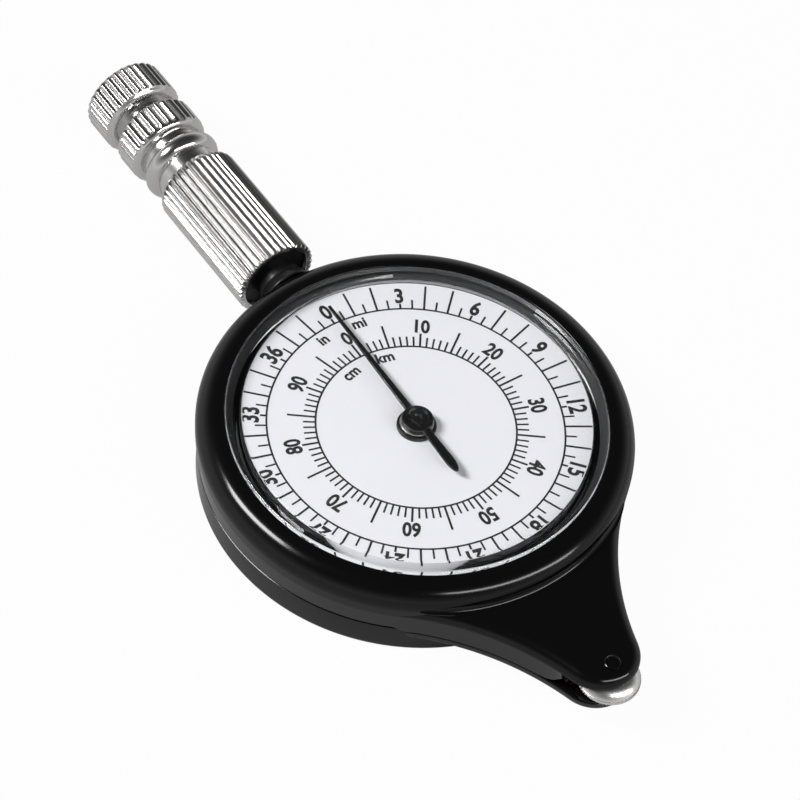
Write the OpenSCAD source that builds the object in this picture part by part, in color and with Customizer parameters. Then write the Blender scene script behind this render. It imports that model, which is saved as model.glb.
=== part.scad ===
// Opisometer map measurer: a round case with a dial, a measuring wheel in the nose and a turned handle.
// Frame: origin on the back flat under the dial axis, +Z out of the dial, +Y towards the handle, mm.

/* [Case] */
// Largest radius of the round bezel
case_r = 22.5; // [21.5:0.1:26]
// How far the case draws in from the bezel to the joint of the shells
waist_in = 0.5; // [0.2:0.05:1]
// Height of the bezel above the back flat
case_h = 9.8; // [9.3:0.1:12]
// How far the joint of the shells lies above the floor inside the nose
split_rise = 0.7; // [0.5:0.05:0.8]
// Radius of the round shoulder of the bezel
shoulder_r = 2.35; // [1:0.05:2.6]
// Radius of the rounded back edge
back_round = 0.9; // [0.3:0.05:1.5]
// Thickness of the floor of the rear shell
floor_t = 1.2; // [0.8:0.05:1.6]
// Wall of the front shell round the movement
case_wall = 2.1; // [1.6:0.05:2.4]
// Thickness of the bezel over the edge of the crystal
lip_t = 1.6; // [1.2:0.05:1.8]

/* [Nose] */
// How far the front face of the nose lies below the bezel
nose_drop = 2.2; // [1.4:0.05:2.4]
// Thickness of the front of the nose over the movement
nose_front_t = 1.2; // [1:0.05:1.3]
// Thickness of the back of the nose
nose_back_t = 0.9; // [0.7:0.05:1.4]
// Side wall of the nose
nose_wall = 1.1; // [0.6:0.05:1.2]
// Space under and over what turns inside the nose
nose_play = 0.2; // [0.1:0.05:0.3]
// Radius of the round tip of the nose
tip_r = 4.35; // [4.2:0.05:5]
// Distance from the wheel axle back to the middle of the tip round
tip_back = 2.1; // [1.8:0.05:2.4]
// Radius of the hollow flanks of the nose
flare_r = 30; // [24:0.5:38]
// Angle from the body axis at which a flank meets the round case
flare_angle = 39; // [36:0.5:42]
// Distance from the wheel axle back to the end of the open slot
slot_back = 2.8; // [2:0.1:2.8]

/* [Dial and crystal] */
// Width of the bezel from its opening to its largest radius
bezel_w = 3; // [2.7:0.1:3.5]
// Thickness of the skirt of the crystal
skirt_t = 1.3; // [0.8:0.05:1.8]
// Thickness of the clear top of the crystal
glass_t = 0.5; // [0.3:0.05:0.5]
// How far the crystal stands above the bezel
glass_proud = 0.1; // [0:0.05:0.3]
// How far the flange of the crystal reaches under the bezel
flange_w = 0.5; // [0.4:0.05:0.7]
// How far the printed face of the dial lies below the bezel
dial_sink = 2; // [1.9:0.05:2.1]
// Thickness of the dial plate
dial_t = 0.5; // [0.3:0.05:0.6]
// Radius of the black collar on the dial
collar_r = 2.05; // [1.7:0.05:3]
// Height of the black collar
collar_h = 0.35; // [0.2:0.05:0.4]
// Radius of the clear hole round the centre arbor
clear_hole_r = 1.1; // [1.05:0.05:1.3]

/* [Pointer] */
// Length from the dial axis to the tip
pointer_len = 16.7; // [12:0.1:17.5]
// Length from the dial axis to the end of the tail
tail_len = 7.4; // [4:0.1:10]
// Width of the hand at the hub
pointer_w = 0.85; // [0.5:0.05:1.5]
// Width of the hand at the tip
tip_w = 0.3; // [0.2:0.05:0.5]
// Thickness of the hand
pointer_t = 0.3; // [0.2:0.05:0.35]
// Radius of the hub disc
hub_r = 1.63; // [1.3:0.05:2.5]
// Space between the dial and the hand
hand_gap = 1; // [0.8:0.05:1]
// Angle of the hand from the body axis at rest, clockwise
pointer_turn = 2; // [-180:1:180]
// Outer radius of the bright bush
bush_r = 1.2; // [1:0.05:1.5]

/* [Measuring wheel] */
// Distance that the wheel rolls in one turn
wheel_round = 20; // [18:0.1:20.4]
// Thickness of the rim
rim_t = 0.55; // [0.3:0.05:0.7]
// How far the underside of the rim lies below the top of the hub
rim_drop = 1.25; // [1.15:0.05:1.4]
// Radius of the hub of the wheel
wheel_hub_r = 1.3; // [1.1:0.05:1.6]
// Radius of the wheel axle
axle_r = 0.5; // [0.35:0.05:0.55]

/* [Gear train] */
// Module of the wheel and first gear pair
module_a = 0.35; // [0.34:0.005:0.36]
// Module of the first and second gear pair
module_b = 0.31; // [0.3:0.005:0.32]
// Distance of the second arbor in from the wall of the front shell
second_in = 2.4; // [2:0.1:3]
// Thickness of the toothed rims
gear_t = 0.6; // [0.4:0.05:0.65]
// Thinning of each tooth at the pitch circle
backlash = 0.08; // [0.07:0.01:0.12]
// Radius of the first arbor
first_arbor_r = 0.5; // [0.35:0.05:0.6]
// Radius of the second arbor
second_arbor_r = 0.6; // [0.4:0.05:0.8]
// Radius of the centre arbor
centre_arbor_r = 0.75; // [0.6:0.05:0.8]
// Height from one layer of gears to the next
layer_step = 1; // [0.9:0.05:1.05]
// Space between the top layer of gears and the movement plate
gear_head = 0.5; // [0.4:0.05:0.6]

/* [Movement] */
// Thickness of the movement plate
plate_t = 0.8; // [0.6:0.05:0.85]
// Space between the bridge and the middle layer of gears
bridge_gap = 0.3; // [0.25:0.05:0.5]
// Thickness of the bridge
bridge_t = 0.7; // [0.5:0.05:0.75]
// Width of the long bar of the bridge
bridge_w = 5; // [4:0.1:7]
// Width of the two cross bars of the bridge
bar_w = 3.2; // [2.6:0.1:4]
// Half distance between the pillars across the case
pillar_x = 9.6; // [9.2:0.1:9.8]
// How far the pillars stand in from the ring of the rear shell, along the case
pillar_in = 4.7; // [4.6:0.1:4.9]
// Radius of a pillar
pillar_r = 1.2; // [0.9:0.05:1.3]
// Radius of the heads of the bridge screws
screw_head_r = 1.4; // [1:0.05:1.5]
// Height of the heads of the bridge screws
screw_head_t = 0.7; // [0.5:0.05:0.8]
// Radius of the shanks of the bridge screws
screw_r = 0.55; // [0.4:0.05:0.6]
// How far a bridge screw reaches into its pillar
screw_in = 1.5; // [1:0.1:1.8]

/* [Handle] */
// How far the handle axis lies above the joint of the shells
axis_rise = 1.3; // [1.1:0.05:1.5]
// Radius of the stem where it leaves the case
stem_r = 2.7; // [2.3:0.05:2.7]
// Length of stem that shows between the case and the tube
stem_show = 2.6; // [1.7:0.1:4.5]
// Radius of the core of the stem inside the tube
core_r = 2; // [1.6:0.1:2.4]
// Length of the core of the stem inside the tube
core_len = 7; // [4:0.5:9]
// Thickness of the tongue of the stem inside the case
tongue_t = 2; // [1.5:0.1:2.1]
// Width of the tongue of the stem inside the case
tongue_w = 4; // [3:0.1:5]
// Length of the fluted part of the tube
tube_len = 15.7; // [12:0.1:20]
// Outer radius of the tube
tube_r = 4.65; // [4.4:0.05:5.1]
// Inner radius of the tube
tube_bore_r = 3.8; // [3.2:0.05:3.9]
// Number of flutes round the tube
tube_flutes = 36; // [24:1:40]
// Depth of the flutes
flute_d = 0.3; // [0.15:0.05:0.4]
// Length of the smooth neck after the tube
neck_len = 1.2; // [0.6:0.1:2]
// Radius of the smooth necks
neck_r = 3.6; // [2.8:0.05:3.9]
// Length of the bead ring
bead_len = 3.1; // [2:0.1:4]
// Radius of the bead
bead_r = 4.4; // [4.1:0.05:5]
// Length of the fluted ring
ring_len = 4.2; // [3:0.1:6]
// Radius of the fluted ring
ring_r = 4.6; // [4.2:0.05:5.1]
// Number of flutes round the ring
ring_flutes = 28; // [20:1:36]
// Length of the waist after the fluted ring
waist_len = 1.4; // [0.6:0.1:2.5]
// Length of the end cap
cap_len = 4.55; // [3:0.05:7]
// Radius of the end cap
cap_r = 4.65; // [4.2:0.05:5.1]
// Number of flutes round the end cap
cap_flutes = 30; // [20:1:36]
// Radius of the rod inside the handle
rod_r = 1; // [0.7:0.05:1.4]
// Radius of the pin that locks the stem
pin_r = 0.7; // [0.5:0.05:0.9]

/* [Fits] */
// Radial gap between a turning arbor and its bore
run_gap = 0.04; // [0.02:0.01:0.08]
// Radial gap between fixed parts that are slid together
slide_gap = 0.05; // [0.02:0.01:0.1]

/* [Hidden] */
$fn = 96;
// Teeth, chosen for fifty turns of the wheel to one of the pointer
wheel_teeth = 8;
first_teeth = 24;
first_pin_teeth = 12;
second_teeth = 50;
second_pin_teeth = 18;
centre_teeth = 72;
pressure = 20;
addendum = 0.8;
dedendum = 1.2;

// Round the case
waist_r = case_r - waist_in;
cavity_r = case_r - case_wall;
opening_r = case_r - bezel_w;
flange_r = opening_r + flange_w;
ring_in = cavity_r - 1.1;
pillar_y = ring_in - pillar_in;

// Heights, from the bezel down
glass_z = case_h + glass_proud;
lip_z = case_h - lip_t;
dial_z = case_h - dial_sink;
pointer_z = dial_z + hand_gap;
plate_z = dial_z - dial_t - plate_t;
layer_c_z = plate_z - gear_head - gear_t;
layer_b_z = layer_c_z - layer_step;
layer_a_z = layer_b_z - layer_step;
bridge_z = layer_b_z - bridge_gap - bridge_t;
nose_top = case_h - nose_drop;
nose_ceil = nose_top - nose_front_t;
nose_floor = layer_a_z - nose_play;
nose_back = nose_floor - nose_back_t;
split_z = nose_floor + split_rise;
wheel_top = nose_ceil - nose_play;
rim_z = wheel_top - rim_drop;
slot_top = wheel_top + 0.15;
axis_z = split_z + axis_rise;

// Along the body, from the dial axis towards the wheel and then towards the end cap
second_y = second_in - cavity_r;
module_c = -2 * second_y / (centre_teeth + second_pin_teeth);
first_y = second_y - module_b * (second_teeth + first_pin_teeth) / 2;
wheel_y = first_y - module_a * (first_teeth + wheel_teeth) / 2;
wheel_r = wheel_round / PI / 2;
tip_y = wheel_y + tip_back;
slot_y = wheel_y + slot_back;
tube_y = case_r + stem_show;
bead_y = tube_y + tube_len + neck_len;
ring_y = bead_y + bead_len;
cap_y = ring_y + ring_len + waist_len;
end_y = cap_y + cap_len;
pivot_d = 0.5;
// The flank circles bite this far into the tip round, so that they cross it and don't just touch
flare_cut = 0.005;

// Second crossing of two circles, the one with the larger x
function crossing(a, ra, b, rb) =
    let (d = norm(b - a), u = (b - a) / d, s = (ra * ra - rb * rb + d * d) / 2 / d)
    let (h = sqrt(max(0, ra * ra - s * s)), m = a + s * u)
    let (p = m + h * [-u[1], u[0]], q = m - h * [-u[1], u[0]])
    p[0] > q[0] ? p : q;

tip_c = [0, tip_y];
corner = case_r * [sin(flare_angle), -cos(flare_angle)];
flare_c = crossing(corner, flare_r, tip_c, flare_r + tip_r);
flare_u = (flare_c - tip_c) / norm(flare_c - tip_c);

function mirrored(p) = [-p[0], p[1]];

// Outline of the nose, moved in by d
module nose_2d(d) {
    touch = tip_c + (tip_r - d) * flare_u;
    top = corner - d * corner / norm(corner);
    difference() {
        union() {
            translate(tip_c)
                circle(r = tip_r - d);
            polygon([mirrored(top), top, touch, mirrored(touch)]);
        }
        for (s = [-1, 1])
            translate([s * flare_c[0], flare_c[1]])
                circle(r = flare_r + d + flare_cut);
    }
}

module at(x, y, z) {
    translate([x, y, z])
        children();
}

module disc(r, z0, z1) {
    at(0, 0, z0)
        cylinder(r = r, h = z1 - z0);
}

// Turns a shape that stands on the floor so that it lies along the handle axis
module along_handle(y) {
    translate([0, y, axis_z])
        rotate([-90, 0, 0])
            children();
}

// Gear teeth
function inv(a) = tan(a) * 180 / PI - a;

function half_tooth(r, teeth, m) =
    let (rp = m * teeth / 2, rb = rp * cos(pressure), rr = max(r, rb))
    let (base = 90 / teeth - backlash / 2 / rp * 180 / PI + inv(pressure))
    max(0.02 * 360 / teeth, base - inv(acos(rb / rr)));

function polar(r, a) = [r * cos(a), r * sin(a)];

function tooth(teeth, m, a) =
    let (lo = m * (teeth / 2 - dedendum), hi = m * (teeth / 2 + addendum))
    let (rs = [lo, lo + (hi - lo) * 0.4, lo + (hi - lo) * 0.7, hi])
    concat(
        [for (i = [0:3]) polar(rs[i], a - half_tooth(rs[i], teeth, m))],
        [for (i = [3:-1:0]) polar(rs[i], a + half_tooth(rs[i], teeth, m))]);

function gear_points(teeth, m) = [
    for (k = [0:teeth - 1])
        for (p = tooth(teeth, m, k * 360 / teeth)) p];

// A toothed rim; its first tooth, or its first gap, faces the angle given
module toothed(teeth, m, z0, z1, angle, gap = false) {
    at(0, 0, z0)
        rotate([0, 0, angle + (gap ? 180 / teeth : 0)])
            linear_extrude(height = z1 - z0)
                polygon(gear_points(teeth, m));
}

// Fluted outlines
function flute(k) = k % 4 == 0 ? 0 : k % 4 == 2 ? 1 : 0.4;

module fluted(r, n, h) {
    linear_extrude(height = h)
        polygon([for (k = [0:4 * n - 1]) polar(r - flute_d * flute(k), k * 90 / n)]);
}

// ---------- case ----------
module shell_front_solid() {
    rotate_extrude() {
        polygon([
            [0, split_z],
            [waist_r, split_z],
            [case_r, case_h - shoulder_r],
            [case_r - shoulder_r, case_h],
            [0, case_h]]);
        translate([case_r - shoulder_r, case_h - shoulder_r])
            circle(r = shoulder_r);
    }
    at(0, 0, split_z)
        linear_extrude(height = nose_top - split_z)
            nose_2d(0);
}

// Room for the first gear, which is wider than the nose is inside
module first_gear_room() {
    at(0, first_y, nose_floor)
        cylinder(r = module_a * (first_teeth / 2 + addendum) + 0.2, h = layer_a_z + gear_t + 0.2 - nose_floor);
}

module stem_hole() {
    along_handle(cavity_r - 0.2)
        cylinder(r = stem_r + slide_gap, h = case_wall + 4);
}

module front_shell() {
    color([0.05, 0.05, 0.05])
        difference() {
            shell_front_solid();
            disc(opening_r, lip_z - 0.1, case_h + 1);
            disc(cavity_r, split_z - 1, lip_z);
            at(0, 0, split_z - 1)
                linear_extrude(height = nose_ceil - split_z + 1)
                    nose_2d(nose_wall);
            at(-15, slot_y - 15, split_z - 1)
                cube([30, 15, slot_top - split_z + 1]);
            first_gear_room();
            at(0, first_y, nose_ceil - 0.1)
                cylinder(r = first_arbor_r + run_gap, h = pivot_d + 0.1);
            at(0, wheel_y, nose_ceil - 0.1)
                cylinder(r = axle_r + run_gap, h = 3);
            stem_hole();
        }
}

module shell_rear_solid() {
    rotate_extrude()
        union() {
            square([waist_r - back_round, split_z]);
            translate([0, back_round])
                square([waist_r, split_z - back_round]);
            intersection() {
                translate([waist_r - back_round, back_round])
                    circle(r = back_round);
                square([waist_r, split_z]);
            }
        }
    at(0, 0, nose_back)
        linear_extrude(height = split_z - nose_back)
            nose_2d(0);
}

// The upright ring on the rear shell presses the movement plate and the dial against the crystal
module rear_shell() {
    color([0.06, 0.06, 0.06])
        difference() {
            union() {
                difference() {
                    union() {
                        shell_rear_solid();
                        disc(cavity_r - slide_gap, floor_t, plate_z);
                    }
                    disc(ring_in, floor_t, plate_z + 1);
                    at(-14, -30, split_z)
                        cube([28, 30, 9]);
                    at(-3.4, 0, split_z)
                        cube([6.8, 30, 9]);
                    at(0, 0, nose_floor)
                        linear_extrude(height = 5)
                            nose_2d(nose_wall);
                    at(0, wheel_y, nose_floor)
                        cylinder(r = module_a * wheel_teeth / 2 + 0.4, h = 5);
                }
                at(0, ring_in - 0.7, floor_t - 0.1)
                    cylinder(r = pin_r + 1, h = split_z - floor_t + 0.1);
            }
            at(0, ring_in - 0.7, floor_t + 0.6)
                cylinder(r = pin_r, h = 9);
            first_gear_room();
            at(0, first_y, nose_floor - pivot_d)
                cylinder(r = first_arbor_r + run_gap, h = 3);
            at(0, wheel_y, nose_floor - pivot_d)
                cylinder(r = axle_r + run_gap, h = 3);
            stem_hole();
        }
}

// ---------- dial and crystal ----------
module crystal() {
    color([0.85, 0.9, 0.92, 0.3])
        rotate_extrude()
            polygon([
                [0, glass_z - glass_t],
                [opening_r - skirt_t, glass_z - glass_t],
                [opening_r - skirt_t, dial_z],
                [flange_r, dial_z],
                [flange_r, lip_z],
                [opening_r, lip_z],
                [opening_r, glass_z - 0.25],
                [opening_r - 0.25, glass_z],
                [0, glass_z]]);
}

module dial_plate() {
    color([0.93, 0.93, 0.92])
        difference() {
            disc(cavity_r - slide_gap, dial_z - dial_t, dial_z);
            disc(clear_hole_r, dial_z - 2, dial_z + 1);
        }
}

module dial_collar() {
    color([0.05, 0.05, 0.05])
        difference() {
            disc(collar_r, dial_z, dial_z + collar_h);
            disc(clear_hole_r, dial_z - 1, dial_z + 2);
        }
}

// ---------- pointer ----------
module pointer() {
    color([0.05, 0.05, 0.05])
        rotate([0, 0, -pointer_turn])
            difference() {
                union() {
                    disc(hub_r, pointer_z, pointer_z + pointer_t);
                    at(0, 0, pointer_z)
                        linear_extrude(height = pointer_t)
                            polygon([
                                [-tip_w / 2, pointer_len],
                                [tip_w / 2, pointer_len],
                                [pointer_w / 2, 0],
                                [pointer_w / 2 + 0.1, 1.2 - tail_len],
                                [0.15, -tail_len],
                                [-0.15, -tail_len],
                                [-pointer_w / 2 - 0.1, 1.2 - tail_len],
                                [-pointer_w / 2, 0]]);
                }
                disc(centre_arbor_r, pointer_z - 1, pointer_z + pointer_t / 2);
            }
}

module pointer_bush() {
    color([0.8, 0.8, 0.8])
        difference() {
            disc(bush_r, dial_z + collar_h + 0.15, pointer_z);
            disc(centre_arbor_r, dial_z, pointer_z + 1);
        }
}

// ---------- gear train ----------
module centre_arbor() {
    color([0.7, 0.7, 0.7])
        disc(centre_arbor_r, bridge_z - 0.2, pointer_z + pointer_t / 2);
}

module centre_gear() {
    color([0.8, 0.65, 0.3])
        difference() {
            union() {
                toothed(centre_teeth, module_c, layer_c_z, layer_c_z + gear_t, -90);
                disc(2, bridge_z + bridge_t + 0.05, plate_z - 0.05);
            }
            disc(centre_arbor_r, 0, case_h);
            for (a = [0:3])
                rotate([0, 0, 45 + a * 90])
                    at(8, 0, layer_c_z - 1)
                        cylinder(r = 3.4, h = 3);
        }
}

module second_arbor() {
    color([0.7, 0.7, 0.7])
        at(0, second_y, 0)
            disc(second_arbor_r, bridge_z - 0.2, plate_z + plate_t - 0.1);
}

module second_gear() {
    color([0.8, 0.65, 0.3])
        at(0, second_y, 0)
            difference() {
                union() {
                    toothed(second_teeth, module_b, layer_b_z, layer_b_z + gear_t, -90);
                    disc(1.4, bridge_z + bridge_t + 0.05, layer_b_z + gear_t);
                }
                disc(second_arbor_r, 0, case_h);
            }
}

module second_pinion() {
    color([0.75, 0.6, 0.28])
        at(0, second_y, 0)
            difference() {
                union() {
                    toothed(second_pin_teeth, module_c, layer_b_z + gear_t, layer_c_z + gear_t + 0.1,
                        90, gap = true);
                    disc(1.3, layer_c_z + gear_t, plate_z - 0.05);
                }
                disc(second_arbor_r, 0, case_h);
            }
}

module first_arbor() {
    color([0.7, 0.7, 0.7])
        at(0, first_y, 0)
            disc(first_arbor_r, nose_floor - pivot_d + 0.05, nose_ceil + pivot_d - 0.05);
}

module first_gear() {
    color([0.8, 0.65, 0.3])
        at(0, first_y, 0)
            difference() {
                toothed(first_teeth, module_a, layer_a_z, layer_a_z + gear_t, -90);
                disc(first_arbor_r, 0, case_h);
            }
}

module first_pinion() {
    color([0.75, 0.6, 0.28])
        at(0, first_y, 0)
            difference() {
                union() {
                    toothed(first_pin_teeth, module_b, layer_a_z + gear_t, layer_b_z + gear_t + 0.1,
                        90, gap = true);
                    disc(0.9, layer_b_z + gear_t, nose_ceil - 0.05);
                }
                disc(first_arbor_r, 0, case_h);
            }
}

module wheel_pinion() {
    color([0.75, 0.6, 0.28])
        at(0, wheel_y, 0)
            difference() {
                toothed(wheel_teeth, module_a, layer_a_z, layer_a_z + gear_t, 90, gap = true);
                disc(axle_r, 0, case_h);
            }
}

module wheel_axle() {
    color([0.7, 0.7, 0.7])
        at(0, wheel_y, 0)
            disc(axle_r, nose_floor - pivot_d + 0.05, nose_top - 0.3);
}

module measuring_wheel() {
    color([0.85, 0.85, 0.85])
        at(0, wheel_y, 0)
            rotate_extrude()
                polygon([
                    [axle_r, layer_a_z + gear_t],
                    [wheel_hub_r, layer_a_z + gear_t],
                    [wheel_hub_r, rim_z - 0.5],
                    [wheel_r - 0.5, rim_z - 0.3],
                    [wheel_r, rim_z],
                    [wheel_r, rim_z + rim_t],
                    [wheel_r - 0.3, rim_z + rim_t + 0.1],
                    [wheel_hub_r + 0.4, wheel_top - 0.35],
                    [wheel_hub_r + 0.4, wheel_top - 0.2],
                    [wheel_hub_r - 0.1, wheel_top - 0.2],
                    [wheel_hub_r - 0.1, wheel_top],
                    [axle_r, wheel_top]]);
}

// ---------- movement ----------
module at_pillars() {
    for (sx = [-1, 1])
        for (sy = [-1, 1])
            translate([sx * pillar_x, sy * pillar_y, 0])
                children();
}

module movement_plate() {
    color([0.8, 0.65, 0.3])
        difference() {
            disc(cavity_r - slide_gap, plate_z, plate_z + plate_t);
            disc(centre_arbor_r + run_gap, plate_z - 1, plate_z + 2);
            at(0, second_y, 0)
                disc(second_arbor_r + run_gap, plate_z - 1, plate_z + 2);
            at_pillars()
                disc(pillar_r - 0.3, plate_z - 1, plate_z + 2);
        }
}

// The two cross bars end inside the ring of the rear shell
module bridge_cross_bars() {
    intersection() {
        disc(ring_in - slide_gap, bridge_z, bridge_z + bridge_t);
        union() {
            for (s = [-1, 1])
                at(-pillar_x, s * pillar_y - bar_w / 2, bridge_z)
                    cube([2 * pillar_x, bar_w, bridge_t]);
            at_pillars()
                disc(bar_w / 2, bridge_z, bridge_z + bridge_t);
        }
    }
}

module bridge() {
    color([0.8, 0.65, 0.3])
        difference() {
            union() {
                at(-bridge_w / 2, second_y, bridge_z)
                    cube([bridge_w, pillar_y - second_y, bridge_t]);
                at(0, second_y, 0)
                    disc(bridge_w / 2, bridge_z, bridge_z + bridge_t);
                bridge_cross_bars();
            }
            disc(centre_arbor_r + run_gap, 0, case_h);
            at(0, second_y, 0)
                disc(second_arbor_r + run_gap, 0, case_h);
            at_pillars()
                disc(screw_r, 0, case_h);
        }
}

module bridge_pillars() {
    color([0.75, 0.75, 0.72])
        at_pillars()
            difference() {
                union() {
                    disc(pillar_r, bridge_z + bridge_t, plate_z);
                    disc(pillar_r - 0.3, plate_z - 0.1, plate_z + plate_t);
                }
                disc(screw_r, bridge_z, bridge_z + bridge_t + screw_in + 0.1);
            }
}

module bridge_screws() {
    color([0.6, 0.6, 0.62])
        at_pillars()
            difference() {
                union() {
                    disc(screw_head_r, bridge_z - screw_head_t, bridge_z);
                    disc(screw_r, bridge_z - 0.1, bridge_z + bridge_t + screw_in);
                }
                at(-2 * screw_head_r, -0.2, bridge_z - screw_head_t - 0.1)
                    cube([4 * screw_head_r, 0.4, 0.4]);
            }
}

// ---------- handle ----------
module handle_stem() {
    y0 = cavity_r + slide_gap;
    color([0.06, 0.06, 0.06])
        difference() {
            union() {
                along_handle(y0)
                    cylinder(r = stem_r, h = tube_y + 0.5 - y0);
                along_handle(case_r + 0.1)
                    cylinder(r1 = stem_r + 0.5, r2 = stem_r, h = 1.2);
                along_handle(tube_y)
                    cylinder(r = core_r, h = core_len);
                at(-tongue_w / 2, ring_in - 2.4, axis_z - tongue_t / 2)
                    cube([tongue_w, y0 - ring_in + 2.6, tongue_t]);
            }
            along_handle(tube_y - 1.2)
                cylinder(r = rod_r, h = core_len + 5);
            at(0, ring_in - 0.7, 0)
                cylinder(r = pin_r, h = case_h);
        }
}

module stem_pin() {
    color([0.7, 0.7, 0.7])
        at(0, ring_in - 0.7, floor_t + 0.6)
            cylinder(r = pin_r, h = axis_z + tongue_t / 2 - floor_t - 0.6);
}

module stem_collar() {
    color([0.08, 0.08, 0.08])
        along_handle(tube_y + 0.5)
            difference() {
                cylinder(r = tube_bore_r, h = core_len);
                at(0, 0, -1)
                    cylinder(r = core_r, h = core_len + 2);
            }
}

module handle_rod() {
    color([0.7, 0.7, 0.7])
        along_handle(tube_y - 1.2)
            cylinder(r = rod_r, h = end_y - 2.2 - tube_y + 1.2);
}

module handle_tube() {
    color([0.85, 0.85, 0.85])
        along_handle(tube_y)
            difference() {
                union() {
                    fluted(tube_r, tube_flutes, tube_len - 0.5);
                    at(0, 0, tube_len - 0.5)
                        cylinder(r1 = tube_r - flute_d, r2 = neck_r, h = 0.5);
                    at(0, 0, tube_len - 1)
                        cylinder(r = neck_r, h = neck_len + 1);
                }
                at(0, 0, -1)
                    cylinder(r = tube_bore_r, h = tube_len - 1.5);
                at(0, 0, 0)
                    cylinder(r = rod_r, h = tube_len + neck_len + 1);
            }
}

module bead_ring() {
    color([0.85, 0.85, 0.85])
        along_handle(bead_y)
            rotate_extrude()
                difference() {
                    union() {
                        translate([rod_r, 0])
                            square([neck_r - rod_r, bead_len]);
                        translate([bead_r - 1.3, bead_len / 2 - 0.15])
                            circle(r = 1.3);
                    }
                    square([rod_r, bead_len]);
                }
}

module fluted_ring() {
    color([0.85, 0.85, 0.85])
        along_handle(ring_y)
            difference() {
                union() {
                    cylinder(r = neck_r, h = ring_len + waist_len);
                    cylinder(r1 = neck_r + 0.2, r2 = ring_r - flute_d / 2, h = 0.7);
                    at(0, 0, 0.7)
                        fluted(ring_r, ring_flutes, ring_len - 0.7);
                }
                at(0, 0, -1)
                    cylinder(r = rod_r, h = ring_len + waist_len + 2);
            }
}

module end_cap() {
    color([0.85, 0.85, 0.85])
        along_handle(cap_y)
            difference() {
                union() {
                    cylinder(r1 = neck_r, r2 = cap_r - flute_d / 2, h = 0.6);
                    at(0, 0, 0.6)
                        fluted(cap_r, cap_flutes, cap_len - 0.6);
                }
                at(0, 0, -1)
                    cylinder(r = rod_r, h = cap_len - 1.2);
            }
}

front_shell();
rear_shell();
crystal();
dial_plate();
dial_collar();
pointer();
pointer_bush();
centre_arbor();
centre_gear();
second_arbor();
second_gear();
second_pinion();
first_arbor();
first_gear();
first_pinion();
wheel_axle();
wheel_pinion();
measuring_wheel();
movement_plate();
bridge();
bridge_pillars();
bridge_screws();
handle_stem();
stem_pin();
stem_collar();
handle_rod();
handle_tube();
bead_ring();
fluted_ring();
end_cap();
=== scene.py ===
import bpy, bmesh
from math import pi, sin, cos, tan, asin, atan2, sqrt, radians
from mathutils import Matrix, Vector


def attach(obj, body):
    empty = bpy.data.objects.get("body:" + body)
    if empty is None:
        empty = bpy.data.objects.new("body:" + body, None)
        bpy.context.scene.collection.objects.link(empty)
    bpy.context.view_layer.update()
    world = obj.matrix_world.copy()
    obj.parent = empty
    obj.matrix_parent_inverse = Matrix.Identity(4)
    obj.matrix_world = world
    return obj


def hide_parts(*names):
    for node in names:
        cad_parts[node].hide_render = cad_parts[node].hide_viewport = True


# Opisometer map measurer. Lengths are written in millimetres and scaled once, as each piece is finished.
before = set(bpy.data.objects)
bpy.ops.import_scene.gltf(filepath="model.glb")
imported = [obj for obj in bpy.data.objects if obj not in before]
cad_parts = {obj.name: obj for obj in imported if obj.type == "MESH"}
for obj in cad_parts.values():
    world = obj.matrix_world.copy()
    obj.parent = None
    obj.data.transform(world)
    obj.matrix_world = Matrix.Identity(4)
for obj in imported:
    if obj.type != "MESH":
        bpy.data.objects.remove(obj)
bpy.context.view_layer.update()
MM = 0.001

# ---------- places shared with the solids ----------
CASE_R, WAIST_R, CASE_H = 22.5, 22.0, 9.8
SPLIT_Z, SHOULDER_R = 3.9, 2.35
OPENING_R, CAVITY_R, LIP_Z = 19.5, 20.4, 8.2
# the outermost dial ring is painted shade: a black band under the crystal's foot, where the foot meets the dial
DIAL_Z, RING_1, RING_2, FOOT_SHADE_R = 7.8, 15.2, 10.237, 19.3
NOSE_TOP, NOSE_BACK, SLOT_TOP = 7.6, 2.3, 6.35
WHEEL_GIRTH = 20
WHEEL_Y, WHEEL_R = -33.21, WHEEL_GIRTH / pi / 2
TIP_Y, TIP_R, FLARE_R, FLARE_ANGLE = -31.11, 4.35, 30.0, 39.0
NOSE_SPLIT, WALL_END = 3.4, -32.2
SEAM = 0.04                # half the gap drawn between the two shells
HAND_Z = 8.8               # underside of the pointer
AXIS_Z, DIAL_TURN, HAND_TURN = 5.2, radians(1.3), radians(2.0)


# ---------- materials ----------
def finish_of(name, colour, rough, metallic=0.0, spread=0.05, grain=900.0, bump=0.03, ior=1.5, depth=0.00002):
    """A surface whose roughness wanders between rough - spread and rough + spread, with a fine relief."""
    m = bpy.data.materials.new(name)
    m.use_nodes = True
    n, link = m.node_tree.nodes, m.node_tree.links
    shader = n["Principled BSDF"]
    shader.inputs["Base Color"].default_value = (*colour, 1)
    shader.inputs["Metallic"].default_value = metallic
    shader.inputs["IOR"].default_value = ior
    place = n.new("ShaderNodeTexCoord")
    cloud = n.new("ShaderNodeTexNoise")
    cloud.inputs["Scale"].default_value = grain / 6
    cloud.inputs["Detail"].default_value = 4
    span = n.new("ShaderNodeMapRange")
    span.inputs["To Min"].default_value = max(0.005, rough - spread)
    span.inputs["To Max"].default_value = rough + spread
    fine = n.new("ShaderNodeTexNoise")
    fine.inputs["Scale"].default_value = grain
    fine.inputs["Detail"].default_value = 6
    relief = n.new("ShaderNodeBump")
    relief.inputs["Strength"].default_value = bump
    relief.inputs["Distance"].default_value = depth
    link.new(place.outputs["Object"], cloud.inputs["Vector"])
    link.new(place.outputs["Object"], fine.inputs["Vector"])
    link.new(cloud.outputs["Fac"], span.inputs["Value"])
    link.new(span.outputs["Result"], shader.inputs["Roughness"])
    link.new(fine.outputs["Fac"], relief.inputs["Height"])
    link.new(relief.outputs["Normal"], shader.inputs["Normal"])
    return m


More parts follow.
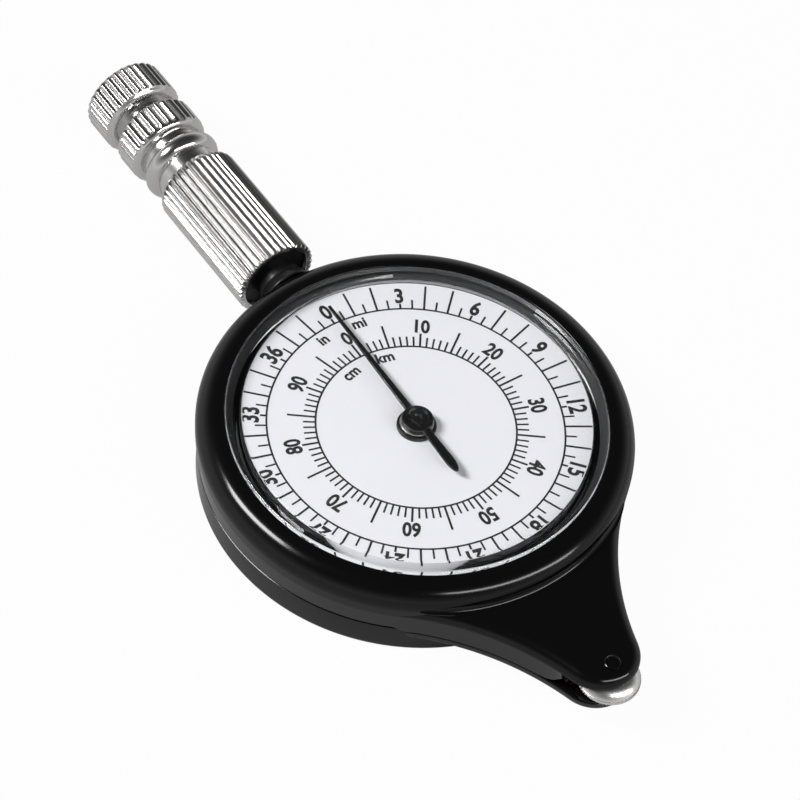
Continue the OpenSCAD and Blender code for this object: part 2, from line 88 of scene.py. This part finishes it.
case_black = finish_of("case black gloss plastic", (0.0024, 0.0024, 0.0027), 0.15, spread=0.04, bump=0.04, ior=1.36)
part_black = finish_of("black satin plastic", (0.006, 0.006, 0.0065), 0.30, spread=0.08, bump=0.12)
hand_black = finish_of("pointer black lacquer", (0.003, 0.003, 0.0034), 0.22, spread=0.04)
dial_white = finish_of("dial white", (0.83, 0.822, 0.86), 0.5, spread=0.06, bump=0.04)
print_and_shade_black = finish_of("dial print and painted shade black", (0.005, 0.005, 0.006), 0.55, spread=0.05)
nickel = finish_of("bright nickel", (0.66, 0.65, 0.645), 0.17, metallic=1, spread=0.03, bump=0.01)
wheel_nickel = finish_of("worn nickel of the wheel", (0.80, 0.79, 0.785), 0.30, metallic=1, spread=0.06, bump=0.08)
steel = finish_of("turned steel", (0.52, 0.52, 0.53), 0.28, metallic=1, spread=0.06, bump=0.08)
brass = finish_of("turned brass", (0.72, 0.54, 0.22), 0.3, metallic=1, spread=0.08, bump=0.08)


def clear_plastic():
    """Polished clear plastic. Shadow rays and light scattered by the dial pass it straight."""
    m = finish_of("clear crystal", (0.97, 0.98, 0.985), 0.012, spread=0.01, grain=500.0, bump=0.002, ior=1.49)
    n, link = m.node_tree.nodes, m.node_tree.links
    shader = n["Principled BSDF"]
    shader.inputs["Transmission Weight"].default_value = 1
    ray = n.new("ShaderNodeLightPath")
    through = n.new("ShaderNodeBsdfTransparent")
    through.inputs["Color"].default_value = (0.975, 0.975, 0.975, 1)
    either = n.new("ShaderNodeMixShader")
    straight = n.new("ShaderNodeMath")
    straight.operation = "MAXIMUM"
    link.new(ray.outputs["Is Shadow Ray"], straight.inputs[0])
    link.new(ray.outputs["Is Diffuse Ray"], straight.inputs[1])
    link.new(straight.outputs[0], either.inputs["Fac"])
    link.new(shader.outputs["BSDF"], either.inputs[1])
    link.new(through.outputs["BSDF"], either.inputs[2])
    link.new(either.outputs["Shader"], n["Material Output"].inputs["Surface"])
    return m


crystal_clear = clear_plastic()

# CAD nodes that keep their own mesh
for node, finish in {
        "dial_plate": dial_white, "centre_arbor": steel, "centre_gear": brass, "second_arbor": steel,
        "second_gear": brass, "second_pinion": brass, "first_arbor": steel, "first_gear": brass,
        "first_pinion": brass, "wheel_axle": steel, "wheel_pinion": brass, "movement_plate": brass,
        "bridge": brass, "bridge_pillars": steel, "bridge_screws": steel, "stem_pin": steel,
        "stem_collar": part_black, "handle_rod": steel}.items():
    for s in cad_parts[node].material_slots:
        s.material = finish


# ---------- making and finishing pieces ----------
def piece(bm, name, finish, body, replaces=(), sharp=38, outward=True):
    """Turns a bmesh drawn in millimetres into a finished object that rides on its body."""
    bmesh.ops.remove_doubles(bm, verts=bm.verts, dist=1e-4)
    if outward:
        bmesh.ops.recalc_face_normals(bm, faces=bm.faces)
    bmesh.ops.scale(bm, vec=(MM, MM, MM), verts=bm.verts)
    mesh = bpy.data.meshes.new(name)
    bm.to_mesh(mesh)
    bm.free()
    mesh.materials.append(finish)
    mesh.shade_smooth()
    mesh.set_sharp_from_angle(angle=radians(sharp))
    ob = bpy.data.objects.new(name, mesh)
    bpy.context.scene.collection.objects.link(ob)
    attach(ob, body)
    if replaces:
        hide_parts(*replaces)
    return ob


def eased(points, radii, steps=5):
    """Rounds the numbered corners of an outline, each with its own radius."""
    out = []
    for i, p in enumerate(points):
        r = radii.get(i, 0)
        if not r:
            out.append(p)
            continue
        p, a, b = Vector(p), Vector(points[i - 1]), Vector(points[(i + 1) % len(points)])
        u, v = (a - p).normalized(), (b - p).normalized()
        half = u.angle(v) / 2
        middle = p + (u + v).normalized() * r / sin(half)
        start, end = p + u * r / tan(half), p + v * r / tan(half)
        for k in range(steps + 1):
            d = (start - middle).lerp(end - middle, k / steps).normalized() * r
            out.append(tuple(middle + d))
    return out


def lathe(bm, outline, steps=180, sweep=2 * pi, start=0.0):
    """Spins an (r, z) outline round +Z. An outline that doesn't touch the axis is closed first."""
    vs = [bm.verts.new((r * cos(start), r * sin(start), z)) for r, z in outline]
    es = [bm.edges.new(p) for p in zip(vs, vs[1:])]
    if outline[0][0] > 1e-6 or outline[-1][0] > 1e-6:
        es.append(bm.edges.new((vs[-1], vs[0])))
    full = sweep > 6.28
    if not full:
        bmesh.ops.contextual_create(bm, geom=vs)
    made = bmesh.ops.spin(bm, geom=vs + es, cent=(0, 0, 0), axis=(0, 0, 1), angle=sweep, steps=steps,
                          use_merge=full)
    if not full:
        ends = [g for g in made["geom_last"] if isinstance(g, bmesh.types.BMVert)]
        bmesh.ops.contextual_create(bm, geom=ends)


def reeded(bm, stations, count, per=8):
    """A bar along +Z: each station is (z, radius, depth of its reeds). Its two ends are closed."""
    n = count * per
    edges = bmesh.ops.create_circle(bm, segments=n, radius=1)["verts"]
    edges = list({e for v in edges for e in v.link_edges})
    for k, (z, r, depth) in enumerate(stations):
        if k:
            made = bmesh.ops.extrude_edge_only(bm, edges=edges)["geom"]
            edges = [g for g in made if isinstance(g, bmesh.types.BMEdge)]
        ring = {v for e in edges for v in e.verts}
        for v in ring:
            a = atan2(v.co.y, v.co.x)
            rr = r - depth * (1 - abs(cos(a * count / 2)))
            v.co = (rr * cos(a), rr * sin(a), z)
        if k in (0, len(stations) - 1):
            bmesh.ops.edgeloop_fill(bm, edges=edges)


def lay_along_handle(bm, y, verts=None):
    """Lays a piece that stands on the floor along the handle, with its foot y from the dial axis."""
    bmesh.ops.transform(bm, verts=verts or bm.verts, matrix=Matrix.Translation((0, y, AXIS_Z))
                        @ Matrix.Rotation(-pi / 2, 4, "X"))


# ---------- nose ----------
def crossing(a, ra, b, rb):
    d = (b - a).length
    u = (b - a) / d
    s = (ra * ra - rb * rb + d * d) / 2 / d
    h = sqrt(max(0, ra * ra - s * s))
    both = [a + s * u + h * Vector((-u.y, u.x)) * k for k in (1, -1)]
    return max(both, key=lambda p: p.x)


TIP = Vector((0, TIP_Y))
CORNER = CASE_R * Vector((sin(radians(FLARE_ANGLE)), -cos(radians(FLARE_ANGLE))))
FLARE = crossing(CORNER, FLARE_R, TIP, FLARE_R + TIP_R)


def flank(bm, inset, z, end_y=None):
    """One flank of the nose as an arc of edges. It starts inside the round case and runs to the tip or to end_y."""
    r = FLARE_R + inset
    a0 = atan2(*(CORNER - FLARE).yx) - 0.02
    a1 = atan2(*(TIP - FLARE).yx) if end_y is None else pi - asin((end_y - FLARE.y) / r)
    v = bm.verts.new((FLARE.x + r * cos(a0), FLARE.y + r * sin(a0), z))
    made = bmesh.ops.spin(bm, geom=[v], cent=(*FLARE, z), axis=(0, 0, 1), angle=a1 - a0, steps=26)
    v.co.xy *= 0.994
    return v, made["geom_last"][0]


def nose_loop(bm, inset, z):
    """The whole outline of the nose at one height, moved in by inset. Returns its edges."""
    old = set(bm.edges)
    first, last = flank(bm, inset, z)
    lean = atan2(*(FLARE - TIP).yx)
    last.co = (*(TIP + (TIP_R - inset) * Vector((cos(lean), sin(lean)))), z)
    made = bmesh.ops.spin(bm, geom=[last], cent=(*TIP, z), axis=(0, 0, 1), angle=-pi / 2 - lean, steps=16)
    made["geom_last"][0].co.x = 0
    half = [e for e in bm.edges if e not in old]
    ends = list({v for e in half for v in e.verts})
    bmesh.ops.mirror(bm, geom=ends + half, axis="X", merge_dist=1e-3)
    loop = [e for e in bm.edges if e not in old]
    tops = [v for v in {v for e in loop for v in e.verts} if len(v.link_edges) == 1]
    loop.append(bm.edges.new(tops))
    return loop


def loft(bm, loops, close=(True, True)):
    """Joins outlines that were drawn at rising heights, and fills the first and the last."""
    for low, high in zip(loops, loops[1:]):
        bmesh.ops.bridge_loops(bm, edges=low + high)
    for flag, loop in zip(close, (loops[0], loops[-1])):
        if flag:
            bmesh.ops.triangle_fill(bm, use_beauty=True, use_dissolve=False, edges=loop)


def drafted(z):
    return 0.45 * (NOSE_TOP - z) / (NOSE_TOP - SPLIT_Z)


def eased_step(t):
    t = min(1, max(0, t))
    return t * t * (3 - 2 * t)


def join_into(bm, part):
    """Adds a second bmesh to the first, with its own normals set outwards."""
    bmesh.ops.recalc_face_normals(part, faces=part.faces)
    keep = bpy.data.meshes.new("part")
    part.to_mesh(keep)
    part.free()
    bm.from_mesh(keep)
    bpy.data.meshes.remove(keep)


# ---------- case ----------
# the lower edge of the nose's side wall climbs to the slot: from this y, over this run, by this much
EDGE_RISES = ((-27.5, 3.0, 0.3), (-29.5, 2.7, 2.5))
WALL_THICK = 0.95


def bezel_foot(bm):
    """Small hollow round where the bezel meets the nose. It thins out to nothing at both ends."""
    old = set(bm.verts)
    hollow, middle_r, middle_z, base_z = 0.74, 23.08, 8.33, 7.4
    reach, fade = radians(35), radians(16)
    foot = [(22.2, base_z)]
    foot += [(middle_r - hollow * cos(a), middle_z - hollow * sin(a)) for a in (radians(9 * k) for k in range(11))]
    lathe(bm, foot + [(middle_r, base_z)], steps=60, sweep=2 * reach, start=-pi / 2 - reach)
    for v in [v for v in bm.verts if v not in old]:
        away = abs(atan2(v.co.x, -v.co.y))
        thin = sqrt(max(0, min(1, (reach - away) / fade)))
        r = v.co.xy.length
        keep = 22.3 + (r - 22.3) * thin
        v.co.x, v.co.y, v.co.z = v.co.x * keep / r, v.co.y * keep / r, 7.5 + (v.co.z - 7.5) * thin


def front_shell():
    bm = bmesh.new()
    upper = eased([(OPENING_R, LIP_Z), (OPENING_R, CASE_H), (CASE_R + 0.02, CASE_H), (22.33, SLOT_TOP),
                   (CAVITY_R, SLOT_TOP), (CAVITY_R, LIP_Z)], {1: 0.18, 2: SHOULDER_R}, steps=14)
    lathe(bm, upper)
    lower = [(22.33, SLOT_TOP), (22.03, SPLIT_Z + 0.13), (21.85, SPLIT_Z + SEAM), (CAVITY_R, SPLIT_Z + SEAM),
             (CAVITY_R, SLOT_TOP)]
    gap = radians(33)
    lathe(bm, lower, steps=150, sweep=2 * pi - 2 * gap, start=-pi / 2 + gap)
    # nose: a plate over the slot, and a side wall on each flank behind it
    plate = bmesh.new()
    sections = [(SLOT_TOP, drafted(SLOT_TOP))]
    sections += [(6.45 + 1.15 * sin(a), 0.15 + 1.45 * (1 - cos(a))) for a in (radians(9 * k) for k in range(11))]
    loops = [nose_loop(plate, inset, z) for z, inset in sections]
    loft(plate, loops, close=(True, False))
    made = bmesh.ops.create_circle(plate, segments=36, radius=0.86, matrix=Matrix.Translation((0, WHEEL_Y, NOSE_TOP)))
    dimple = list({e for v in made["verts"] for e in v.link_edges})
    bmesh.ops.triangle_fill(plate, use_beauty=True, use_dissolve=False, edges=loops[-1] + dimple)
    for r, z in ((0.84, NOSE_TOP + 0.12), (0.77, NOSE_TOP + 0.16), (0.69, NOSE_TOP + 0.1), (0.64, NOSE_TOP - 0.12)):
        made = bmesh.ops.extrude_edge_only(plate, edges=dimple)["geom"]
        dimple = [g for g in made if isinstance(g, bmesh.types.BMEdge)]
        for v in {v for e in dimple for v in e.verts}:
            v.co.x, v.co.y = (v.co.xy - Vector((0, WHEEL_Y))).normalized() * r + Vector((0, WHEEL_Y))
            v.co.z = z
    bmesh.ops.edgeloop_fill(plate, edges=dimple)
    rings = []
    for z in (NOSE_SPLIT + 0.03, SLOT_TOP):
        old = set(plate.edges)
        a, b = flank(plate, drafted(z), z, WALL_END)
        c, d = flank(plate, WALL_THICK, z, WALL_END)
        plate.edges.new((a, c))
        plate.edges.new((b, d))
        rings.append([e for e in plate.edges if e not in old])
    old = set(plate.faces)
    loft(plate, rings)
    for v in {v for e in rings[0] for v in e.verts}:
        for start, run, rise in EDGE_RISES:
            v.co.z += rise * eased_step((start - v.co.y) / run)
    wall = [f for f in plate.faces if f not in old]
    parts = list({v for f in wall for v in f.verts}) + list({e for f in wall for e in f.edges}) + wall
    bmesh.ops.mirror(plate, geom=parts, axis="X", merge_dist=1e-6)
    join_into(bm, plate)
    bezel_foot(bm)
    return piece(bm, "front_shell_dressed", case_black, "case", ["front_shell"], sharp=42)


def rear_shell():
    bm = bmesh.new()
    inner = CAVITY_R - 1.1
    top = SPLIT_Z - SEAM
    outline = eased([(0, 0), (WAIST_R, 0), (WAIST_R + 0.02, top - 0.1), (WAIST_R - 0.15, top), (inner, top),
                     (inner, 1.2), (0, 1.2)], {1: 0.9}, steps=8)
    lathe(bm, outline)
    ring = [(inner, SPLIT_Z - 0.1), (CAVITY_R - 0.05, SPLIT_Z - 0.1), (CAVITY_R - 0.05, 6.5), (inner, 6.5)]
    for start in (-46, 100):
        lathe(bm, ring, steps=60, sweep=radians(126), start=radians(start))
    nose = bmesh.new()
    rim = NOSE_SPLIT - 0.05
    sections = [(NOSE_BACK, 0.95), (NOSE_BACK + 0.06, 0.72), (NOSE_BACK + 0.22, 0.58), (NOSE_BACK + 0.45, 0.52),
                (rim - 0.07, 0.5), (rim, 0.58), (rim, 1.3), (3.0, 1.3)]
    loft(nose, [nose_loop(nose, inset, z) for z, inset in sections])
    join_into(bm, nose)
    return piece(bm, "rear_shell_dressed", case_black, "case", ["rear_shell"], sharp=42)


front_shell()
rear_shell()


# ---------- crystal, dial, its print and a ring of painted shade ---
def crystal():
    bm = bmesh.new()
    r, flange_r, top, under = OPENING_R - 0.04, 20.0, 9.9, 9.4
    foot_r, root_r, foot_z = 18.62, 17.87, DIAL_Z + 0.03
    outline = eased([(0, top), (r, top), (r, LIP_Z), (flange_r, LIP_Z - 0.02), (flange_r, foot_z),
                     (foot_r, foot_z), (root_r, under), (0, under)], {1: 0.3, 6: 0.3}, steps=8)
    lathe(bm, outline, steps=220)
    return piece(bm, "crystal_dressed", crystal_clear, "case", ["crystal"], sharp=50)


def dial_collar():
    bm = bmesh.new()
    lathe(bm, eased([(1.1, DIAL_Z + 0.01), (2.05, DIAL_Z + 0.01), (2.05, DIAL_Z + 0.35), (1.1, DIAL_Z + 0.35)],
                    {2: 0.12, 3: 0.06}), steps=72)
    return piece(bm, "dial_collar_dressed", part_black, "case", ["dial_collar"])


INK, PRINT_Z = 0.014, DIAL_Z + 0.002
HALF_INCHES, CENTIMETRES = 78, 100
DIGIT_HEIGHT = 0.73        # of Blender's own font at size 1


def bar(bm, angle, r0, r1, width):
    """A printed stroke from radius r0 to r1, at a clockwise angle from the zero of the dial."""
    turn = Matrix.Rotation(-angle - DIAL_TURN, 4, "Z")
    place = Matrix.Translation((0, (r0 + r1) / 2, PRINT_Z + INK / 2))
    bmesh.ops.create_cube(bm, size=1, matrix=turn @ place @ Matrix.Diagonal((width, r1 - r0, INK, 1)))


def lettering(bm, words, angle, radius, height, squeeze=0.8):
    """Flat printed characters whose foot is at this radius, their tops outwards."""
    curve = bpy.data.curves.new("print", "FONT")
    curve.body, curve.align_x, curve.size, curve.extrude = words, "CENTER", 1.0, 0.0
    curve.offset = 0.034
    curve.resolution_u = 3
    ob = bpy.data.objects.new("print", curve)
    bpy.context.scene.collection.objects.link(ob)
    mesh = bpy.data.meshes.new_from_object(ob.evaluated_get(bpy.context.evaluated_depsgraph_get()))
    scale = height / DIGIT_HEIGHT
    mesh.transform(Matrix.Rotation(-angle - DIAL_TURN, 4, "Z") @ Matrix.Translation((0, radius, DIAL_Z + INK + 0.002))
                   @ Matrix.Diagonal((scale * squeeze, scale, 1, 1)))
    bm.from_mesh(mesh)
    bpy.data.objects.remove(ob)
    bpy.data.curves.remove(curve)
    bpy.data.meshes.remove(mesh)


def dial_print_and_foot_shade():
    bm = bmesh.new()
    fine, bold = 0.2, 0.23
    # two thin printed rings, then a wide black ring under the crystal's foot that is painted shade for the dark gap
    # there
    for r, half in ((RING_1, 0.1), (RING_2, 0.1), (FOOT_SHADE_R, 0.7)):
        lathe(bm, [(r - half, PRINT_Z), (r + half, PRINT_Z), (r + half, DIAL_Z + INK), (r - half, DIAL_Z + INK)],
              steps=180)
    for k in range(HALF_INCHES):
        top = 1.0775 if k % 2 else 1.043 if k % 6 == 0 else 1.205
        bar(bm, 2 * pi * k / HALF_INCHES, RING_1, RING_1 * top, bold if k % 2 == 0 else fine)
    for k in range(CENTIMETRES):
        top = 0.788 if k % 10 == 0 else 0.8645 if k % 5 == 0 else 0.757
        bar(bm, 2 * pi * k / CENTIMETRES, RING_2, RING_1 * top, bold if k % 5 == 0 else fine)
    for k in range(13):
        lettering(bm, str(3 * k), 2 * pi * k / 13, RING_1 * 1.054, RING_1 * 0.124)
    for k in range(10):
        lettering(bm, str(10 * k), 2 * pi * k / 10, RING_1 * 0.798, RING_1 * 0.112)
    for words, r, where in (("in", 0.895, -9), ("mi", 0.895, 9), ("cm", 0.565, -13), ("km", 0.565, 13)):
        lettering(bm, words, radians(where), RING_1 * r, RING_1 * 0.082, squeeze=0.95)
    return piece(bm, "dial_print_and_foot_shade", print_and_shade_black, "case", outward=False)


crystal()
dial_collar()
dial_print_and_foot_shade()


# ---------- pointer ----------
def pointer():
    bm = bmesh.new()
    z = HAND_Z
    half = [(0.14, 16.7), (0.36, 4.0), (0.44, 0.0), (0.44, -3.0), (0.5, -5.6), (0.48, -6.3), (0.39, -6.85),
            (0.25, -7.2), (0.09, -7.4)]
    rim = [bm.verts.new((x, y, z)) for x, y in half] + [bm.verts.new((-x, y, z)) for x, y in reversed(half)]
    face = bm.faces.new(rim)
    up = bmesh.ops.extrude_face_region(bm, geom=[face])["geom"]
    bmesh.ops.translate(bm, vec=(0, 0, 0.3), verts=[g for g in up if isinstance(g, bmesh.types.BMVert)])
    top = [e for e in bm.edges if all(v.co.z > z + 0.2 for v in e.verts)]
    bmesh.ops.bevel(bm, geom=top, affect="EDGES", offset=0.12, segments=3, profile=0.5, material=-1)
    hub = [(0.0, z - 0.02), (1.63, z - 0.02), (1.63, z + 0.34), (1.2, z + 0.42), (1.04, z + 0.26), (0.84, z + 0.26),
           (0.7, z + 0.5), (0.42, z + 0.52), (0.3, z + 0.4), (0, z + 0.4)]
    lathe(bm, eased(hub, {1: 0.08, 2: 0.13, 3: 0.08, 6: 0.08, 7: 0.06}), steps=64)
    bmesh.ops.rotate(bm, verts=bm.verts, cent=(0, 0, 0), matrix=Matrix.Rotation(-HAND_TURN, 3, "Z"))
    return piece(bm, "pointer_dressed", hand_black, "pointer_shaft", ["pointer"], sharp=30)


def pointer_bush():
    bm = bmesh.new()
    lathe(bm, eased([(0.75, 8.3), (1.74, 8.3), (1.74, 8.46), (1.4, 8.56), (1.25, HAND_Z), (0.75, HAND_Z)],
                    {1: 0.04, 2: 0.04}), steps=64)
    return piece(bm, "pointer_bush_dressed", nickel, "pointer_shaft", ["pointer_bush"])


def measuring_wheel():
    bm = bmesh.new()
    r = WHEEL_R
    stations = [(4.0, 0.55, 0), (4.0, 1.3, 0), (4.45, 1.3, 0), (4.6, 2.5, 0), (4.75, r - 0.35, 0),
                (4.9, r - 0.03, 0.04), (4.95, r, 0.05), (5.22, r, 0.05), (5.27, r - 0.03, 0.02),
                (5.3, r - 0.1, 0), (5.5, 2.96, 0), (5.7, 2.76, 0), (5.87, 2.54, 0), (6.0, 2.3, 0), (6.1, 2.02, 0),
                (6.12, 1.9, 0), (6.06, 1.84, 0), (6.06, 1.6, 0), (6.2, 1.5, 0), (6.2, 0.55, 0)]
    reeded(bm, stations, 60, per=4)
    bmesh.ops.translate(bm, vec=(0, WHEEL_Y, 0), verts=bm.verts)
    return piece(bm, "measuring_wheel_dressed", wheel_nickel, "wheel_shaft", ["measuring_wheel"], sharp=25)


pointer()
pointer_bush()
measuring_wheel()


# ---------- handle ----------
def handle_stem():
    bm = bmesh.new()
    lathe(bm, eased([(0, 0.05), (2.68, 0.05), (2.68, 2.2), (3.15, 2.25), (2.66, 3.5), (2.6, 5.2), (2.0, 5.2),
                     (2.0, 11.6), (0, 11.6)], {3: 0.15, 4: 0.5, 5: 0.1}), steps=72)
    lay_along_handle(bm, 20.45)
    bmesh.ops.create_cube(bm, size=1, matrix=Matrix.Translation((0, 18.75, AXIS_Z)) @ Matrix.Diagonal((4, 3.7, 2, 1)))
    return piece(bm, "handle_stem_dressed", part_black, "case", ["handle_stem"])


def fluted_piece(name, node, foot_y, stations, count):
    bm = bmesh.new()
    reeded(bm, stations, count)
    lay_along_handle(bm, foot_y)
    return piece(bm, name, nickel, "case", [node], sharp=40)


def bead_ring():
    bm = bmesh.new()
    bead = [(3.2 + 1.2 * cos(a), 1.4 + 1.15 * sin(a)) for a in (radians(-75 + 15 * k) for k in range(11))]
    lathe(bm, [(1.0, 0), (3.6, 0), (3.6, 0.24)] + bead + [(3.55, 2.6), (3.55, 3.1), (1.0, 3.1)], steps=120)
    lay_along_handle(bm, 42.0)
    return piece(bm, "bead_ring_dressed", nickel, "case", ["bead_ring"], sharp=40)


handle_stem()
fluted_piece("handle_tube_dressed", "handle_tube", 25.1, [
    (14.2, 3.8, 0), (0.2, 3.8, 0), (0.0, 3.92, 0), (0.0, 4.42, 0.36), (0.18, 4.64, 0.5), (0.34, 4.64, 0.5),
    (14.74, 4.62, 0.5), (14.9, 4.62, 0.5), (15.25, 4.54, 0.44), (15.5, 4.36, 0.24), (15.64, 4.1, 0.06),
    (15.7, 3.8, 0), (15.78, 3.64, 0), (16.9, 3.6, 0), (16.9, 1.0, 0)], 36)
bead_ring()
fluted_piece("fluted_ring_dressed", "fluted_ring", 45.1, [
    (0, 1.0, 0), (0, 3.55, 0), (0.3, 3.55, 0), (0.32, 3.8, 0), (0.42, 4.1, 0), (0.62, 4.36, 0), (0.85, 4.5, 0.04),
    (1.1, 4.58, 0.34), (1.24, 4.58, 0.34), (3.76, 4.58, 0.34), (3.9, 4.58, 0.34), (4.08, 4.48, 0.24),
    (4.2, 4.25, 0), (4.22, 3.5, 0), (4.4, 3.4, 0), (5.6, 3.4, 0), (5.6, 1.0, 0)], 28)
fluted_piece("end_cap_dressed", "end_cap", 50.7, [
    (0, 1.0, 0), (0, 3.7, 0), (0.04, 4.0, 0), (0.3, 4.38, 0), (0.5, 4.5, 0), (0.55, 4.62, 0.06), (0.65, 4.65, 0.36),
    (0.8, 4.65, 0.36), (4.06, 4.65, 0.36), (4.2, 4.65, 0.36), (4.42, 4.56, 0.24), (4.55, 4.3, 0),
    (4.55, 3.8, 0), (4.4, 3.6, 0), (4.4, 0.4, 0)], 30)


# ---------- stage, light and camera ----------
WHITE_SHARE = 0.97         # how much of the floor the camera sees as plain white, the rest keeps the shadow


def floor():
    bm = bmesh.new()
    bmesh.ops.create_grid(bm, x_segments=1, y_segments=1, size=3.0)
    mesh = bpy.data.meshes.new("floor")
    bm.to_mesh(mesh)
    bm.free()
    ob = bpy.data.objects.new("floor", mesh)
    bpy.context.scene.collection.objects.link(ob)
    m = bpy.data.materials.new("pale floor")
    m.use_nodes = True
    n, link = m.node_tree.nodes, m.node_tree.links
    n["Principled BSDF"].inputs["Base Color"].default_value = (0.45, 0.45, 0.45, 1)
    n["Principled BSDF"].inputs["Roughness"].default_value = 0.8
    n["Principled BSDF"].inputs["Specular IOR Level"].default_value = 0.1
    glow = n.new("ShaderNodeEmission")
    glow.inputs["Strength"].default_value = 1.0
    ray = n.new("ShaderNodeLightPath")
    seen = n.new("ShaderNodeMath")
    seen.operation = "MAXIMUM"
    part = n.new("ShaderNodeMath")
    part.operation = "MULTIPLY"
    part.inputs[1].default_value = WHITE_SHARE
    mix = n.new("ShaderNodeMixShader")
    link.new(ray.outputs["Is Camera Ray"], seen.inputs[0])
    link.new(ray.outputs["Is Transmission Ray"], seen.inputs[1])
    link.new(seen.outputs[0], part.inputs[0])
    link.new(part.outputs[0], mix.inputs["Fac"])
    link.new(n["Principled BSDF"].outputs["BSDF"], mix.inputs[1])
    link.new(glow.outputs["Emission"], mix.inputs[2])
    link.new(mix.outputs["Shader"], n["Material Output"].inputs["Surface"])
    mesh.materials.append(m)


def sky():
    """Soft room light, pale low down and nearly dark overhead, so that flat black tops stay black."""
    world = bpy.data.worlds.new("studio")
    bpy.context.scene.world = world
    world.use_nodes = True
    n, link = world.node_tree.nodes, world.node_tree.links
    place = n.new("ShaderNodeTexCoord")
    split = n.new("ShaderNodeSeparateXYZ")
    ramp = n.new("ShaderNodeValToRGB").color_ramp
    ramp.elements[0].color, ramp.elements[1].color = (0.8, 0.8, 0.8, 1), (0.04, 0.04, 0.04, 1)
    for height, grey in ((0.3, 0.42), (0.55, 0.12), (0.7, 0.05)):
        ramp.elements.new(height).color = (grey, grey, grey, 1)
    link.new(place.outputs["Generated"], split.inputs[0])
    link.new(split.outputs["Z"], n["Color Ramp"].inputs["Fac"])
    link.new(n["Color Ramp"].outputs["Color"], n["Background"].inputs["Color"])
    n["Background"].inputs["Strength"].default_value = 1.0


def softbox(name, one_end, other_end, width, watts):
    """A strip light between two points in the air, turned so that it faces the dial."""
    a, b = Vector(one_end), Vector(other_end)
    light = bpy.data.lights.new(name, "AREA")
    light.shape, light.size, light.size_y, light.energy = "RECTANGLE", (b - a).length, width, watts
    ob = bpy.data.objects.new(name, light)
    bpy.context.scene.collection.objects.link(ob)
    back = (a + b).normalized()
    along = (b - a - (b - a).dot(back) * back).normalized()
    ob.matrix_world = Matrix.Translation((a + b) / 2) @ Matrix((along, back.cross(along), back)).transposed().to_4x4()


floor()
sky()
softbox("softbox left", (-0.41, 0.42, 0.465), (-0.40, 0.135, 0.62), 0.17, 5.8)
softbox("softbox front", (-0.13, -0.455, 0.53), (0.455, -0.53, 0.27), 0.07, 2.2)


def camera():
    """The photograph's view, from 357 mm away and 52 degrees above the dial."""
    cam = bpy.data.cameras.new("camera")
    cam.lens, cam.sensor_width, cam.clip_start, cam.clip_end = 158.7, 36, 0.01, 10
    ob = bpy.data.objects.new("camera", cam)
    bpy.context.scene.collection.objects.link(ob)
    right, down, ahead = (0.82764722, -0.55344343, 0.09327619), (-0.39343898, -0.69063958, -0.60681359), (
        0.40025722, 0.4655291, -0.78935215)
    axes = Matrix((right, [-v for v in down], [-v for v in ahead])).transposed()
    turn = Matrix.Rotation(-DIAL_TURN, 3, "Z")
    ob.location = turn @ Vector((-0.14323, -0.16346, 0.28343)) + Vector((0, 0, DIAL_Z * MM))
    ob.rotation_euler = (turn @ axes).to_euler()
    bpy.context.scene.camera = ob


camera()
bpy.context.scene.view_settings.view_transform = "Standard"
